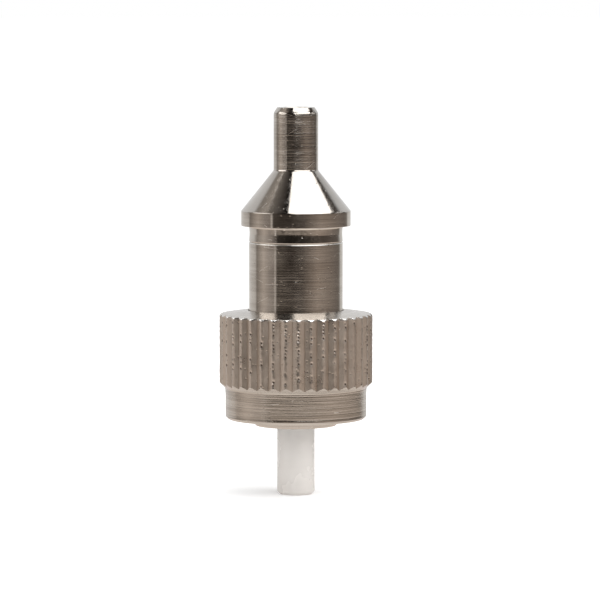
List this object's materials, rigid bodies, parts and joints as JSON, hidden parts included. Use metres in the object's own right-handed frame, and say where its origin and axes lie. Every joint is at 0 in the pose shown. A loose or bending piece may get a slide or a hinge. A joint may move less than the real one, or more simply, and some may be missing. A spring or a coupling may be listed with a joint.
{
  "type": "fc to lc fibre adapter",
  "caption": "Turned-metal fibre adapter: a white ferrule inside a knurled coupling nut plugs into an FC port, and a slim coned nose with a ceramic-lined socket takes an LC plug.",
  "frame": {"origin": "centre of the FC ferrule's end face, on the turning axis", "axes": "+Z along the axis from the FC ferrule to the LC nose, +Y towards the frame's key"},
  "size_m": [0.0102, 0.0102, 0.0257],
  "materials": {
    "nickel_plated_brass": "fine-turned brass under warm grey nickel plate, polished on the cone",
    "zirconia": "ground white zirconia, satin",
    "spring_steel": "drawn spring wire",
    "stainless_steel": "turned stainless steel",
    "fibre_glass": "clear silica fibre, polished at both ends"
  },
  "bodies": {
    "plug": {"nose_shell": "nickel_plated_brass", "plug_body": "nickel_plated_brass", "key_frame": "nickel_plated_brass", "conversion_sleeve": "zirconia", "sleeve_retainer": "nickel_plated_brass", "ferrule_spring": "spring_steel"},
    "retaining_ring": {"nut_retaining_ring": "spring_steel"},
    "nut": {"coupling_nut": "nickel_plated_brass"},
    "fibre_stub": {"fc_ferrule": "zirconia", "stub_holder": "stainless_steel", "rear_stub_ferrule": "zirconia", "fibre": "fibre_glass"}
  },
  "joints": [
    {"name": "nut_spin", "type": "hinge", "parent": "plug", "child": "retaining_ring", "pos_m": [0, 0, 0.0104], "axis": [0, 0, 1], "continuous": true},
    {"name": "nut_slide", "type": "slide", "parent": "retaining_ring", "child": "nut", "axis": [0, 0, 1], "range_m": [0, 0.0055]},
    {"name": "stub_float", "type": "slide", "parent": "plug", "child": "fibre_stub", "axis": [0, 0, 1], "range_m": [0, 0.0006], "stiffness_N_per_m": 640, "deforming": ["ferrule_spring"]}
  ]
}
